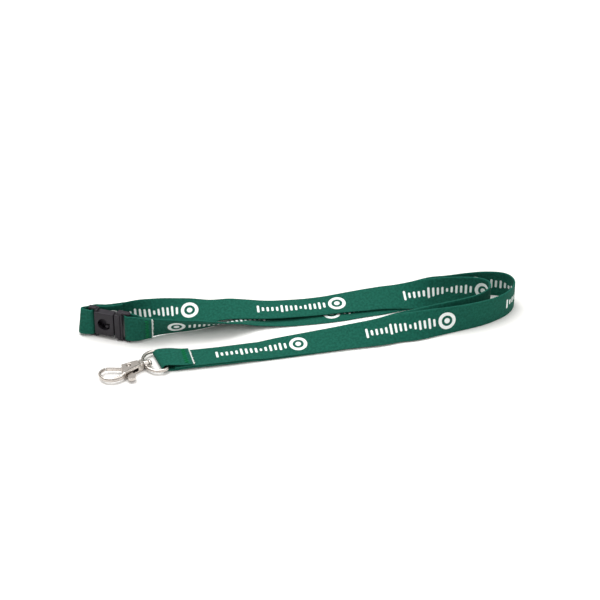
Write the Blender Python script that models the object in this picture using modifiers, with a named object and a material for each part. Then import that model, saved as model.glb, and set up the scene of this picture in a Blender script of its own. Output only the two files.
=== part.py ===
"""Neck lanyard with a swivel snap hook and a breakaway buckle, lying doubled over on a table.

Metres, +Z up, origin under the middle of the bounding box. Two strap strands leave the hook side by
side, run along +X, turn back in two nested bends and end in loops round the bars of the buckle.
"""
import math

import bmesh
import bpy
from mathutils import Matrix, Vector

MM = 0.001
COLLECTION = "lanyard_badge_holder"

# Strap
STRAP_WIDTH = 15.0 * MM
STRAP_THICKNESS = 0.8 * MM
LAYER_GAP = 0.3 * MM
ROUTE_STEP = 3.2
THREAD_RADIUS = 0.2 * MM
SEAM_PASSES = 5
SEAM_SPREAD = 0.87
SEAM_LIFT = STRAP_THICKNESS / 2 + THREAD_RADIUS + 0.2 * MM
HOOK_SEAM = (2.8, 4.4)
TONGUE_SEAM = (-2.2, -3.4)
SOCKET_SEAM = (4.4, 6.0)

# Hook: a local frame at the middle of the ring's bar, +X towards the claw, +Y to the thumb tab
HOOK_ORIGIN = (-71.4 * MM, -22.6 * MM, 2.2 * MM)
HOOK_HEADING = 204.0
FOLD_CENTRE = (-70.0, -22.0, 2.2)
FOLD_HEADING = 22.0
FOLD_REACH = (2.2, 1.75)
RING_BAR_X = -1.5
RING_WIRE_RADIUS = 0.9 * MM
HUB_START = 6.2 * MM
HUB_END = 8.7 * MM
HUB_RADIUS = 2.25 * MM
RIVET_RADIUS = 1.05 * MM
RIVET_HEAD_RADIUS = 1.9 * MM
RIVET_CLEARANCE = 0.3 * MM
BODY_START = 9.0 * MM
BODY_HEIGHT = 4.4 * MM
CLAW_HEIGHT = 2.6 * MM
CLAW_HALF_WIDTH = 0.85 * MM
LEVER_THICKNESS = 1.4 * MM
LEVER_SLOT = 2.0 * MM
LEVER_PIVOT = (16.5 * MM, -0.1 * MM)
PIN_RADIUS = 0.65 * MM

# Buckle: a local frame at the socket half's bar, +X towards the tongue half, +Y to the far side
BUCKLE_ORIGIN = (-111.0 * MM, 5.6 * MM, 8.8 * MM)
BUCKLE_HEADING = -18.0
BUCKLE_THICKNESS = 4.4 * MM
BUCKLE_BODY_HEIGHT = 13.6 * MM
BUCKLE_FRAME_HEIGHT = 17.6 * MM
BAR_RADIUS = 1.1 * MM
SOCKET_BAR_RADIUS = 0.9 * MM
SOCKET_BAR_X = 3.2 * MM
SOCKET_START = 5.8 * MM
SOCKET_END = 16.5 * MM
TONGUE_FLANGE = (17.0 * MM, 20.0 * MM)
TONGUE_REAR = (20.0 * MM, 21.3 * MM)
TONGUE_BAR_X = 24.2 * MM
WINDOW_CENTRE = (11.1 * MM, 0.0)
WINDOW_RADIUS = 3.4 * MM
CAVITY = (11.4 * MM, 2.2 * MM)
CATCH_CENTRE = (12.3 * MM, -1.6 * MM)
CATCH_RADIUS = 1.25 * MM

# Routes of the strap's middle line: x, y and the clear height under the strap in mm, then its
# heading and lean in degrees. Lean 0 lies flat, 90 stands on edge.
OUTER_ROUTE = [
    (-64.6, -21.5, 1.2, 12, 0), (-59, -20.6, 1.2, 10, -2), (-52.3, -19.5, 1.2, 9, -3),
    (-38, -16.8, 1.2, 10, -3), (-25.2, -13.9, 1.15, 10.5, -2), (-10.4, -10.8, 1.1, 11, 5),
    (9.7, -6.6, 0.85, 12, 13), (25.2, -3.4, 0.75, 12, 20), (41, -1.1, 0.55, 13, 33),
    (51.5, 1.2, 0.4, 14, 45), (61.9, 2.2, 0.25, 16, 58), (78.4, 6.2, 0.1, 20, 80),
    (95, 12.1, 0, 25, 87), (105.7, 18.3, 0, 38, 90), (111.4, 24.3, 0, 58, 90), (114.1, 31.2, 0, 86, 90),
    (112.4, 37, 0, 122, 90), (107.3, 40.3, 0, 158, 90), (98, 40.9, 0, 182, 90), (88, 39.1, 0, 188, 92),
    (76, 35.9, 0, 194, 98), (65, 33.3, 0, 196, 128), (53, 31.8, 0, 194, 155), (42.5, 29, 0, 192, 172),
    (31.8, 26.2, 0, 191, 179), (21.3, 23.1, 0, 190, 180), (9, 20.5, 0, 189, 180),
    (-5, 18.2, 0, 188, 181), (-21, 15.6, 0, 190, 188), (-30, 12, 0, 190, 201), (-38.5, 7.8, 0, 190, 214),
    (-52, 3.8, 0, 188, 231), (-62.3, 2, 0, 190, 238), (-72, 0.2, 0.3, 190, 246),
    (-79, -1.8, 0.8, 186, 257), (-84.6, -1.2, 1.25, 172, 268), (-87.6, -0.1, 1.3, 163, 270),
]
INNER_ROUTE = [
    (-67.2, -21.8, 0.15, 17, 0), (-64.4, -21.4, 0.1, 13, 0), (-59, -20.6, 0.1, 10, -2),
    (-52.3, -19.5, 0.1, 9, -3), (-38, -16.8, 0.1, 10, -3), (-25.2, -13.9, 0.05, 10.5, -2),
    (-10.4, -10.7, 0, 11, 5), (9.7, -6.2, 0, 12, 13), (25.1, -2.7, 0, 12, 20), (40.8, -0.3, 0, 13, 33),
    (51.2, 2.5, 0, 14, 45), (61.4, 4.8, 0, 17, 58), (69, 7.5, 0, 20, 67), (78.6, 11.4, 0, 22, 80),
    (89.2, 16.4, 0, 27, 88), (96.2, 21, 0, 42, 90), (100.5, 26.2, 0, 68, 90), (100.6, 31.4, 0, 112, 90),
    (96.4, 34.7, 0, 155, 90), (88, 35.4, 0.1, 182, 92), (78, 34.4, 0.2, 187, 97),
    (69, 32.2, 0.3, 192, 112), (61.5, 31.4, 0.8, 193, 135), (53.3, 31.6, 1.5, 192, 153),
    (42.7, 31, 1.8, 190, 161), (32, 29.7, 1.6, 190, 166), (21.5, 28.3, 1.6, 190, 172),
    (10.8, 26.3, 1.5, 188, 175), (0.5, 24.1, 2, 186, 176), (-15.5, 20.7, 3.1, 186, 175),
    (-26, 19.7, 3.7, 185, 172), (-36.5, 19.3, 3.7, 183, 168), (-47, 19.9, 1.2, 178, 162),
    (-57.5, 20.4, 0.5, 178, 156), (-68, 17.6, 0.2, 188, 142), (-77.5, 13.5, 0.5, 196, 122),
    (-85, 11.1, 1, 200, 102), (-89.9, 10.08, 1.3, 196, 90),
]


def clear_scene():
    for item in list(bpy.data.objects):
        bpy.data.objects.remove(item, do_unlink=True)


def make_collection(name):
    group = bpy.data.collections.new(name)
    bpy.context.scene.collection.children.link(group)
    return group


def make_material(name, color, roughness, metallic=0.0):
    material = bpy.data.materials.new(name)
    material.use_nodes = True
    shader = material.node_tree.nodes["Principled BSDF"]
    shader.inputs["Base Color"].default_value = (*color, 1.0)
    shader.inputs["Roughness"].default_value = roughness
    shader.inputs["Metallic"].default_value = metallic
    return material


def add_object(name, data, group, material=None):
    item = bpy.data.objects.new(name, data)
    group.objects.link(item)
    if material:
        item.data.materials.append(material)
    return item


def frame_empty(name, origin, heading, group):
    empty = bpy.data.objects.new(name, None)
    empty.location = origin
    empty.rotation_euler = (0.0, 0.0, math.radians(heading))
    group.objects.link(empty)
    return empty


def add_bevel(item, width, segments=2, angle=40.0):
    bevel = item.modifiers.new("bevel", "BEVEL")
    bevel.width = width
    bevel.segments = segments
    bevel.limit_method = "ANGLE"
    bevel.angle_limit = math.radians(angle)
    return bevel


def smooth_shade(mesh, angle=40.0):
    mesh.shade_smooth()
    mesh.set_sharp_from_angle(angle=math.radians(angle))


def mesh_from(item, group):
    """The evaluated shape of a curve or of an object with modifiers, as a plain mesh object."""
    bpy.context.view_layer.update()
    evaluated = item.evaluated_get(bpy.context.evaluated_depsgraph_get())
    mesh = bpy.data.meshes.new_from_object(evaluated)
    solid = bmesh.new()
    solid.from_mesh(mesh)
    bmesh.ops.remove_doubles(solid, verts=solid.verts, dist=1e-6)
    bmesh.ops.recalc_face_normals(solid, faces=solid.faces)
    solid.to_mesh(mesh)
    solid.free()
    name = item.name
    copy = bpy.data.objects.new(name + "_solid", mesh)
    copy.matrix_world = item.matrix_world.copy()
    group.objects.link(copy)
    bpy.data.objects.remove(item, do_unlink=True)
    copy.name = name
    return copy


def apply_boolean(item, cutter, operation="DIFFERENCE"):
    boolean = item.modifiers.new(operation.lower(), "BOOLEAN")
    boolean.object = cutter
    boolean.operation = operation
    boolean.solver = "EXACT"
    return boolean


def hide_helper(item):
    item.hide_render = True
    item.display_type = "WIRE"


def box_mesh(name, low, high):
    solid = bmesh.new()
    bmesh.ops.create_cube(solid, size=1.0)
    size = [high[i] - low[i] for i in range(3)]
    middle = [(high[i] + low[i]) / 2 for i in range(3)]
    bmesh.ops.scale(solid, vec=size, verts=solid.verts)
    bmesh.ops.translate(solid, vec=middle, verts=solid.verts)
    mesh = bpy.data.meshes.new(name)
    solid.to_mesh(mesh)
    solid.free()
    return mesh


def rod_mesh(name, radius, start, end, segments=24):
    """A round rod between two points."""
    start, end = Vector(start), Vector(end)
    solid = bmesh.new()
    bmesh.ops.create_cone(solid, cap_ends=True, segments=segments, radius1=radius, radius2=radius,
                          depth=(end - start).length)
    turn = Vector((0, 0, 1)).rotation_difference(end - start).to_matrix().to_4x4()
    bmesh.ops.transform(solid, matrix=Matrix.Translation((start + end) / 2) @ turn, verts=solid.verts)
    mesh = bpy.data.meshes.new(name)
    solid.to_mesh(mesh)
    solid.free()
    return mesh


def outline_curve(name, points, height, handle="AUTO", resolution=4):
    """A closed flat outline, extruded to the given height about its own plane."""
    curve = bpy.data.curves.new(name, "CURVE")
    curve.dimensions = "2D"
    curve.fill_mode = "BOTH"
    curve.extrude = height / 2
    curve.resolution_u = resolution
    spline = curve.splines.new("BEZIER")
    spline.bezier_points.add(len(points) - 1)
    spline.use_cyclic_u = True
    for knot, (x, y) in zip(spline.bezier_points, points):
        knot.co = (x, y, 0.0)
        knot.handle_left_type = knot.handle_right_type = handle
    return curve


def sweep_curve(name, points, radii, profile=None, radius=0.001, resolution=6, cyclic=False, sides=3):
    """A tube along a smooth line, thicker or thinner by the factor given at each point."""
    curve = bpy.data.curves.new(name, "CURVE")
    curve.dimensions = "3D"
    curve.twist_mode = "Z_UP"
    curve.resolution_u = resolution
    curve.use_fill_caps = True
    if profile:
        curve.bevel_mode = "OBJECT"
        curve.bevel_object = profile
    else:
        curve.bevel_depth = radius
        curve.bevel_resolution = sides
    spline = curve.splines.new("BEZIER")
    spline.bezier_points.add(len(points) - 1)
    spline.use_cyclic_u = cyclic
    for knot, point, factor in zip(spline.bezier_points, points, radii):
        knot.co = point
        knot.radius = factor
        knot.handle_left_type = knot.handle_right_type = "AUTO"
    return curve


# ---- straps ----

def smooth_route(route, step, turn_step=14.0):
    """Points on a smooth line through the route's own points, closer together where it turns."""
    rows = [list(row) for row in route]
    first = [2 * a - b for a, b in zip(rows[0], rows[1])]
    last = [2 * a - b for a, b in zip(rows[-1], rows[-2])]
    knots = [first] + rows + [last]
    samples = []
    for i in range(1, len(knots) - 2):
        before, a, b, after = knots[i - 1:i + 3]
        length = math.dist(a[:3], b[:3])
        turn = max(abs(b[3] - a[3]), abs(b[4] - a[4]))
        count = max(1, math.ceil(length / step), math.ceil(turn / turn_step))
        for k in range(count):
            samples.append(catmull_rom(before, a, b, after, k / count))
    samples.append(rows[-1])
    return samples


def catmull_rom(before, a, b, after, t):
    return [0.5 * (2 * q + (r - p) * t + (2 * p - 5 * q + 4 * r - s) * t ** 2
                   + (3 * q - p - 3 * r + s) * t ** 3)
            for p, q, r, s in zip(before, a, b, after)]


def width_direction(heading, lean):
    heading, lean = math.radians(heading), math.radians(lean)
    return Vector((-math.sin(heading) * math.cos(lean), math.cos(heading) * math.cos(lean),
                   math.sin(lean)))


def strap_section(row):
    """The middle, the half width and the face normal of the strap at a row of its route."""
    x, y, clear, heading, lean = row
    side = width_direction(heading, lean)
    middle = Vector((x, y, clear - clear_height(0.0, lean))) * MM
    forward = Vector((math.cos(math.radians(heading)), math.sin(math.radians(heading)), 0.0))
    return middle, side * STRAP_WIDTH / 2, forward.cross(side).normalized()


def strap(name, samples, group, material):
    """A flat strap: an open strip from edge to edge along the samples, given its thickness."""
    mesh = bpy.data.meshes.new(name)
    strip = bmesh.new()
    edges = []
    for row in samples:
        middle, side, _ = strap_section(row)
        edges.append([strip.verts.new(middle - side), strip.verts.new(middle + side)])
    for (a, b), (c, d) in zip(edges, edges[1:]):
        strip.faces.new((a, c, d, b))
    strip.to_mesh(mesh)
    strip.free()
    item = add_object(name, mesh, group, material)
    thick = item.modifiers.new("thickness", "SOLIDIFY")
    thick.thickness = STRAP_THICKNESS
    thick.offset = 0.0
    thick.use_even_offset = False
    return item


def loop_rows(path):
    """Strap rows from rows of x, y, heading and lean in the buckle's own frame."""
    turn = math.radians(BUCKLE_HEADING)
    x0, y0, z = (value / MM for value in BUCKLE_ORIGIN)
    return [(x0 + x * math.cos(turn) - y * math.sin(turn), y0 + x * math.sin(turn) + y * math.cos(turn),
             clear_height(z, lean), BUCKLE_HEADING + own, lean) for x, y, own, lean in path]


def arc(centre, radius, start, end, step=20.0):
    count = max(2, math.ceil(abs(end - start) / step))
    angles = [math.radians(start + (end - start) * k / count) for k in range(count + 1)]
    return [(centre[0] + radius * math.cos(a), centre[1] + radius * math.sin(a), a) for a in angles]


def clear_height(z, lean):
    """The clear height under a strap whose middle line is at z."""
    lean = math.radians(lean)
    return z - (STRAP_WIDTH * abs(math.sin(lean)) + STRAP_THICKNESS * abs(math.cos(lean))) / 2 / MM


def hook_tail_rows():
    """The inner strand's tail: from its cut end, over the ring's bar and round it to its underside."""
    x, y, z = FOLD_CENTRE
    along = FOLD_HEADING
    reach, rise = FOLD_REACH
    rows = [(-54.9, -19.9, 2.35, 14, -3), (-58.6, -20.5, 2.5, 13, -2), (-61.6, -21.0, 3.0, 13, -1),
            (-65.0, -21.4, 3.5, 15, 0), (-67.8, -21.7, 3.6, 19, 0)]
    for back, lift, _ in arc((0.0, 0.0), 1.0, 90.0, 270.0):
        rows.append((x + reach * back * math.cos(math.radians(along)),
                     y + reach * back * math.sin(math.radians(along)),
                     clear_height(z + rise * lift, 0.0), along, 0))
    return rows


def tongue_loop_rows():
    """The outer strand's end: round the tongue half's bar and back along its own front."""
    reach = (BAR_RADIUS + LAYER_GAP + STRAP_THICKNESS / 2) / MM
    bar_x = TONGUE_BAR_X / MM
    path = [(x, y, math.degrees(a) + 90.0, 270) for x, y, a in arc((bar_x, 0.0), reach, 90.0, 270.0)]
    return loop_rows(path) + [(-84.9, -3.9, 1.3, 350, 270), (-81.9, -3.7, 1.1, 358, 275),
                   (-78.8, -2.9, 0.8, 366, 282), (-75.6, -2.2, 0.6, 368, 287)]


def socket_loop_rows():
    """The inner strand's end: behind the socket half, round its bar and back through its slot."""
    path = [(18.4, 10.6, 214, 90), (14.2, 8.0, 211, 90), (9.5, 5.4, 200, 90), (5.5, 4.3, 195, 90),
            (3.9, 3.7, 205, 89), (2.0, 2.5, 214, 87), (0.2, 1.3, 212, 85)]
    path += [(x, y, math.degrees(a) + 90.0, 83) for x, y, a in arc((-0.9, -0.9), 1.5, 120.0, 265.0)]
    path += [(1.2, -2.4, 360, 86), (3.2, -2.15, 368, 90), (4.45, -1.5, 405, 90), (4.95, -0.2, 443, 90),
             (5.0, 1.3, 450, 90), (5.35, 2.7, 425, 90), (6.6, 3.25, 382, 90), (9.8, 3.95, 375, 90),
             (14.7, 6.6, 389, 90), (17.6, 8.4, 392, 90)]
    return loop_rows(path)


def build_straps(group, material):
    rows = {"strap_outer": OUTER_ROUTE + tongue_loop_rows()[1:],
            "strap_inner": hook_tail_rows() + INNER_ROUTE,
            "strap_inner_loop": socket_loop_rows()}
    samples = {name: smooth_route(route, ROUTE_STEP) for name, route in rows.items()}
    for name, points in samples.items():
        strap(name, points, group, material)
    return samples


def row_at(samples, distance):
    """The strap's row at a distance in mm along its samples, from the end if it is negative."""
    if distance < 0:
        samples, distance = samples[::-1], -distance
    for a, b in zip(samples, samples[1:]):
        length = math.dist(a[:3], b[:3])
        if distance <= length:
            return [u + (v - u) * distance / length for u, v in zip(a, b)]
        distance -= length
    return samples[-1]


def build_seam(name, samples, distances, lift, group, material):
    """A zigzag sewing thread over the strap's face, between two rows across it."""
    points = []
    for k in range(SEAM_PASSES * 2 + 1):
        middle, side, normal = strap_section(row_at(samples, distances[k % 2]))
        across = (k / SEAM_PASSES - 1.0) * SEAM_SPREAD
        points.append(middle + side * across + normal * lift)
    curve = bpy.data.curves.new(name, "CURVE")
    curve.dimensions = "3D"
    curve.bevel_depth = THREAD_RADIUS
    curve.bevel_resolution = 1
    curve.use_fill_caps = True
    spline = curve.splines.new("POLY")
    spline.points.add(len(points) - 1)
    for knot, point in zip(spline.points, points):
        knot.co = (*point, 1.0)
    return add_object(name, curve, group, material)


# ---- swivel ring and hook ----

def build_ring(hook, group, cutters, material):
    half = [(RING_BAR_X, 0.0), (RING_BAR_X, 6.6), (-1.0, 8.3), (1.4, 8.8), (4.8, 7.7), (7.1, 4.9),
            (7.7, 2.2)]
    points = [(x * MM, y * MM, 0.0) for x, y in half]
    points += [(x * MM, -y * MM, 0.0) for x, y in reversed(half[1:])]
    curve = sweep_curve("swivel_ring", points, [1.0] * len(points), radius=RING_WIRE_RADIUS,
                        cyclic=True, resolution=5, sides=3)
    ring = add_object("swivel_ring", curve, group)
    ring.parent = hook
    ring = mesh_from(ring, group)
    ring.data.materials.append(material)
    hub = add_object("ring_hub", rod_mesh("ring_hub", HUB_RADIUS, (HUB_START, 0, 0), (HUB_END, 0, 0), 28),
                     cutters)
    bore = add_object("ring_bore", rod_mesh("ring_bore", RIVET_RADIUS + RIVET_CLEARANCE,
                                            (4 * MM, 0, 0), (11 * MM, 0, 0), 24), cutters)
    for helper in (hub, bore):
        helper.parent = hook
        hide_helper(helper)
    apply_boolean(ring, hub, "UNION")
    apply_boolean(ring, bore)
    return ring


def build_rivet(hook, group, material):
    """Turned post: a domed head inside the ring, a shank through the hub and into the hook body."""
    profile = [(RIVET_HEAD_RADIUS * 0.55, 4.3), (RIVET_HEAD_RADIUS * 0.9, 4.7), (RIVET_HEAD_RADIUS, 5.3),
               (RIVET_HEAD_RADIUS * 0.95, 5.85), (RIVET_RADIUS, 5.9), (RIVET_RADIUS, 11.6)]
    rivet = bmesh.new()
    steps = 24
    mesh = bpy.data.meshes.new("swivel_rivet")
    line = [rivet.verts.new((0.0, 0.0, -4.1 * MM))]
    line += [rivet.verts.new((r, 0.0, -z * MM)) for r, z in profile]
    line += [rivet.verts.new((0.0, 0.0, -11.6 * MM))]
    for a, b in zip(line, line[1:]):
        rivet.edges.new((a, b))
    rivet.to_mesh(mesh)
    rivet.free()
    item = add_object("swivel_rivet", mesh, group, material)
    screw = item.modifiers.new("turn", "SCREW")
    screw.steps = steps
    screw.render_steps = steps
    screw.use_merge_vertices = True
    screw.merge_threshold = 0.00001
    item.rotation_euler = (0.0, -math.pi / 2, 0.0)
    item.parent = hook
    return item


def build_hook_body(hook, group, cutters, material):
    block_points = [(9.0, -2.1), (9.0, 2.0), (11.0, 2.5), (16.0, 4.2), (20.4, 6.0), (21.2, 5.0),
                    (20.5, 1.8), (19.9, -1.9), (14.5, -2.4)]
    curve = outline_curve("hook_body", [(x * MM, y * MM) for x, y in block_points], BODY_HEIGHT,
                          handle="VECTOR", resolution=1)
    body = add_object("hook_body", curve, group)
    body.parent = hook
    body = mesh_from(body, group)
    body.data.materials.append(material)
    add_bevel(body, 0.45 * MM, 2, 30)
    profile = bpy.data.curves.new("claw_section", "CURVE")
    ring = profile.splines.new("POLY")
    sides = 12
    ring.points.add(sides - 1)
    ring.use_cyclic_u = True
    for k, knot in enumerate(ring.points):
        turn = 2 * math.pi * k / sides
        knot.co = (CLAW_HALF_WIDTH * math.cos(turn), CLAW_HEIGHT / 2 * math.sin(turn), 0.0, 1.0)
    section = add_object("claw_section", profile, cutters)
    hide_helper(section)
    line = [(19.2, 4.4), (21.4, 5.5), (24.4, 6.3), (28.0, 6.1), (30.8, 4.3), (32.0, 1.3), (31.7, -1.3),
            (30.2, -3.0), (27.85, -4.0)]
    widths = [1.15, 1.15, 1.1, 1.0, 0.95, 0.92, 0.9, 0.88, 0.8]
    claw_curve = sweep_curve("hook_claw", [(x * MM, y * MM, 0.0) for x, y in line], widths,
                             profile=section, resolution=5)
    claw = add_object("hook_claw", claw_curve, cutters)
    claw.parent = hook
    claw = mesh_from(claw, cutters)
    slot_points = [(12.2, -1.55), (18.0, -1.55), (20.2, -2.6), (26.0, -2.6), (26.0, 2.4), (19.85, 2.4),
                   (19.85, 9.0), (12.2, 9.0)]
    slot = outline_curve("lever_slot", [(x * MM, y * MM) for x, y in slot_points], LEVER_SLOT,
                         handle="VECTOR", resolution=1)
    slot = add_object("lever_slot", slot, cutters)
    slot.parent = hook
    slot = mesh_from(slot, cutters)
    x, y = LEVER_PIVOT
    hole = add_object("pin_hole", rod_mesh("pin_hole", PIN_RADIUS + 0.2 * MM, (x, y, -4 * MM),
                                           (x, y, 4 * MM)), cutters)
    bore = add_object("rivet_bore", rod_mesh("rivet_bore", RIVET_RADIUS + RIVET_CLEARANCE,
                                             (8 * MM, 0, 0), (12.0 * MM, 0, 0)), cutters)
    for helper in (hole, bore):
        helper.parent = hook
    for helper in (claw, slot, hole, bore):
        hide_helper(helper)
    apply_boolean(body, claw, "UNION")
    for helper in (slot, hole, bore):
        apply_boolean(body, helper)
    return body


def build_lever(hook, group, cutters, material):
    """Gate arm and thumb tab, one flat piece that turns on the pin."""
    points = [(15.3, -0.8), (16.4, -1.2), (17.8, -1.0), (20.5, -1.5), (24.0, -3.1), (26.9, -4.35),
              (27.5, -3.75), (27.1, -2.95), (24.3, -1.8), (21.0, -0.3), (18.9, 0.9), (18.4, 2.4),
              (18.5, 4.2), (19.1, 6.2), (19.9, 7.6), (20.0, 8.8), (19.2, 9.8), (17.8, 10.1), (16.3, 9.5),
              (15.5, 7.8), (15.9, 5.6), (16.2, 3.2), (15.4, 1.3), (14.9, 0.2)]
    curve = outline_curve("lever", [(x * MM, y * MM) for x, y in points], LEVER_THICKNESS, "AUTO", 2)
    lever = add_object("lever", curve, group)
    lever.parent = hook
    lever = mesh_from(lever, group)
    lever.data.materials.append(material)
    x, y = LEVER_PIVOT
    lever.data.transform(Matrix.Translation((-x, -y, 0)))
    lever.matrix_world = lever.matrix_world @ Matrix.Translation((x, y, 0))
    add_bevel(lever, 0.3 * MM, 2, 50)
    hole = add_object("lever_hole", rod_mesh("lever_hole", PIN_RADIUS + 0.3 * MM, (x, y, -3 * MM),
                                             (x, y, 3 * MM)), cutters)
    hole.parent = hook
    hide_helper(hole)
    apply_boolean(lever, hole)
    return lever


def build_pin(hook, group, material):
    x, y = LEVER_PIVOT
    half = BODY_HEIGHT / 2 - 0.15 * MM
    pin = add_object("lever_pin", rod_mesh("lever_pin", PIN_RADIUS, (0, 0, -half), (0, 0, half), 20),
                     group, material)
    pin.location = (x, y, 0)
    pin.parent = hook
    return pin


def build_spring(hook, group, material):
    turns, per_turn, radius = 4, 10, 0.65
    start, end, y = 12.5, 14.0, -0.55
    count = turns * per_turn
    points = []
    for k in range(count + 1):
        angle = 2 * math.pi * k / per_turn
        points.append(((start + (end - start) * k / count) * MM, (y + radius * math.cos(angle)) * MM,
                       radius * math.sin(angle) * MM))
    curve = bpy.data.curves.new("lever_spring", "CURVE")
    curve.dimensions = "3D"
    curve.bevel_depth = 0.11 * MM
    curve.bevel_resolution = 1
    curve.use_fill_caps = True
    spline = curve.splines.new("POLY")
    spline.points.add(count)
    for knot, point in zip(spline.points, points):
        knot.co = (*point, 1.0)
    spring = add_object("lever_spring", curve, group, material)
    spring.parent = hook
    return spring


# ---- buckle ----

def join_parts(item, boxes, cutters, buckle):
    for k, (low, high, round_over) in enumerate(boxes):
        name = f"{item.name}_add_{k}"
        part = add_object(name, box_mesh(name, [v * MM for v in low], [v * MM for v in high]), cutters)
        part.parent = buckle
        add_bevel(part, round_over * MM, 2)
        hide_helper(part)
        apply_boolean(item, part, "UNION")


def cut_parts(item, boxes, cutters, buckle):
    for k, (low, high) in enumerate(boxes):
        name = f"{item.name}_cut_{k}"
        part = add_object(name, box_mesh(name, [v * MM for v in low], [v * MM for v in high]), cutters)
        part.parent = buckle
        hide_helper(part)
        apply_boolean(item, part)


def build_socket(buckle, group, cutters, material):
    low = (SOCKET_START, -BUCKLE_THICKNESS / 2, -BUCKLE_BODY_HEIGHT / 2)
    high = (SOCKET_END, BUCKLE_THICKNESS / 2, BUCKLE_BODY_HEIGHT / 2)
    socket = add_object("buckle_socket", box_mesh("buckle_socket", low, high), group, material)
    socket.parent = buckle
    add_bevel(socket, 0.5 * MM, 2)
    frame = BUCKLE_FRAME_HEIGHT / 2 / MM
    arms = [((2.4, -1.2, side * 8.25 - 0.55), (6.8, 1.2, side * 8.25 + 0.55), 0.3) for side in (-1, 1)]
    seats = [((5.9, -1.6, side * 7.3 - 0.9), (7.6, 1.6, side * 7.3 + 0.9), 0.3) for side in (-1, 1)]
    join_parts(socket, arms + seats, cutters, buckle)
    bar = add_object("socket_bar", rod_mesh("socket_bar", SOCKET_BAR_RADIUS,
                                            (SOCKET_BAR_X, 0, -(frame - 0.5) * MM),
                                            (SOCKET_BAR_X, 0, (frame - 0.5) * MM), 20), cutters)
    bar.parent = buckle
    hide_helper(bar)
    apply_boolean(socket, bar, "UNION")
    half_cavity = CAVITY[1] / 2 / MM
    half_width = CAVITY[0] / 2 / MM
    cuts = [((6.8, -half_cavity, -half_width), (18.0, half_cavity, half_width)),
            ((12.0, -1.75, -3.15), (18.0, -0.9, -0.05))]
    cut_parts(socket, cuts, cutters, buckle)
    x, z = WINDOW_CENTRE
    window = add_object("socket_window", rod_mesh("socket_window", WINDOW_RADIUS, (x, -4 * MM, z),
                                                  (x, -0.4 * MM, z), 32), cutters)
    window.parent = buckle
    hide_helper(window)
    apply_boolean(socket, window)
    return socket


def build_tongue(buckle, group, cutters, material):
    low = (TONGUE_FLANGE[0], -2.35 * MM, -7.1 * MM)
    high = (TONGUE_FLANGE[1], 2.35 * MM, 7.1 * MM)
    tongue = add_object("buckle_tongue", box_mesh("buckle_tongue", low, high), group, material)
    tongue.parent = buckle
    add_bevel(tongue, 0.45 * MM, 2)
    rear = TONGUE_REAR[1] / MM
    boxes = [((7.4, -0.8, -5.3), (17.6, 0.8, 5.3), 0.35),
             ((19.5, -1.75, -6.6), (rear - 0.3, 1.75, 6.6), 0.2),
             ((20.4, -2.15, -7.0), (rear, 2.15, 7.0), 0.2)]
    boxes += [((20.6, -1.2, side * 8.25 - 0.55), (24.9, 1.2, side * 8.25 + 0.55), 0.3) for side in (-1, 1)]
    boxes += [((18.4, -1.7, side * 7.6 - 1.0), (21.2, 1.7, side * 7.6 + 1.0), 0.3) for side in (-1, 1)]
    join_parts(tongue, boxes, cutters, buckle)
    bar = add_object("tongue_bar", rod_mesh("tongue_bar", BAR_RADIUS, (TONGUE_BAR_X, 0, -8.3 * MM),
                                            (TONGUE_BAR_X, 0, 8.3 * MM), 20), cutters)
    catch = add_object("tongue_catch", rod_mesh("tongue_catch", CATCH_RADIUS,
                                                (CATCH_CENTRE[0], 0, CATCH_CENTRE[1]),
                                                (CATCH_CENTRE[0], -1.5 * MM, CATCH_CENTRE[1]), 20), cutters)
    for helper in (bar, catch):
        helper.parent = buckle
        hide_helper(helper)
        apply_boolean(tongue, helper, "UNION")
    return tongue


def main():
    clear_scene()
    group = make_collection(COLLECTION)
    cutters = make_collection("cutters")
    webbing = make_material("webbing", (0.03, 0.15, 0.11), 0.85)
    thread = make_material("thread", (0.02, 0.24, 0.11), 0.7)
    nickel = make_material("nickel", (0.72, 0.69, 0.66), 0.28, 1.0)
    spring_steel = make_material("spring_steel", (0.5, 0.5, 0.5), 0.35, 1.0)
    plastic = make_material("black_plastic", (0.025, 0.024, 0.028), 0.45)

    hook = frame_empty("hook_frame", HOOK_ORIGIN, HOOK_HEADING, group)
    buckle = frame_empty("buckle_frame", BUCKLE_ORIGIN, BUCKLE_HEADING, group)
    bpy.context.view_layer.update()

    samples = build_straps(group, webbing)
    build_seam("hook_stitching", samples["strap_inner"], HOOK_SEAM, SEAM_LIFT, group, thread)
    build_seam("tongue_stitching", samples["strap_outer"], TONGUE_SEAM, -SEAM_LIFT - 0.15 * MM, group, thread)
    build_seam("socket_stitching", samples["strap_inner_loop"], SOCKET_SEAM, SEAM_LIFT, group, thread)

    build_ring(hook, group, cutters, nickel)
    build_rivet(hook, group, nickel)
    build_hook_body(hook, group, cutters, nickel)
    build_lever(hook, group, cutters, nickel)
    build_pin(hook, group, nickel)
    build_spring(hook, group, spring_steel)
    build_socket(buckle, group, cutters, plastic)
    build_tongue(buckle, group, cutters, plastic)

    for item in group.objects:
        if item.type == "MESH":
            smooth_shade(item.data)


main()
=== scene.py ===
"""Looks of the neck lanyard: printed webbing, zigzag stitches, a cast nickel hook, a moulded buckle.

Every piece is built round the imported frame, in metres. Shapes of the hook and of the buckle are drawn
in millimetres in a local frame of their own and then placed.
"""
import math
import random

import bmesh
import bpy
from mathutils import Matrix, Vector, noise

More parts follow.
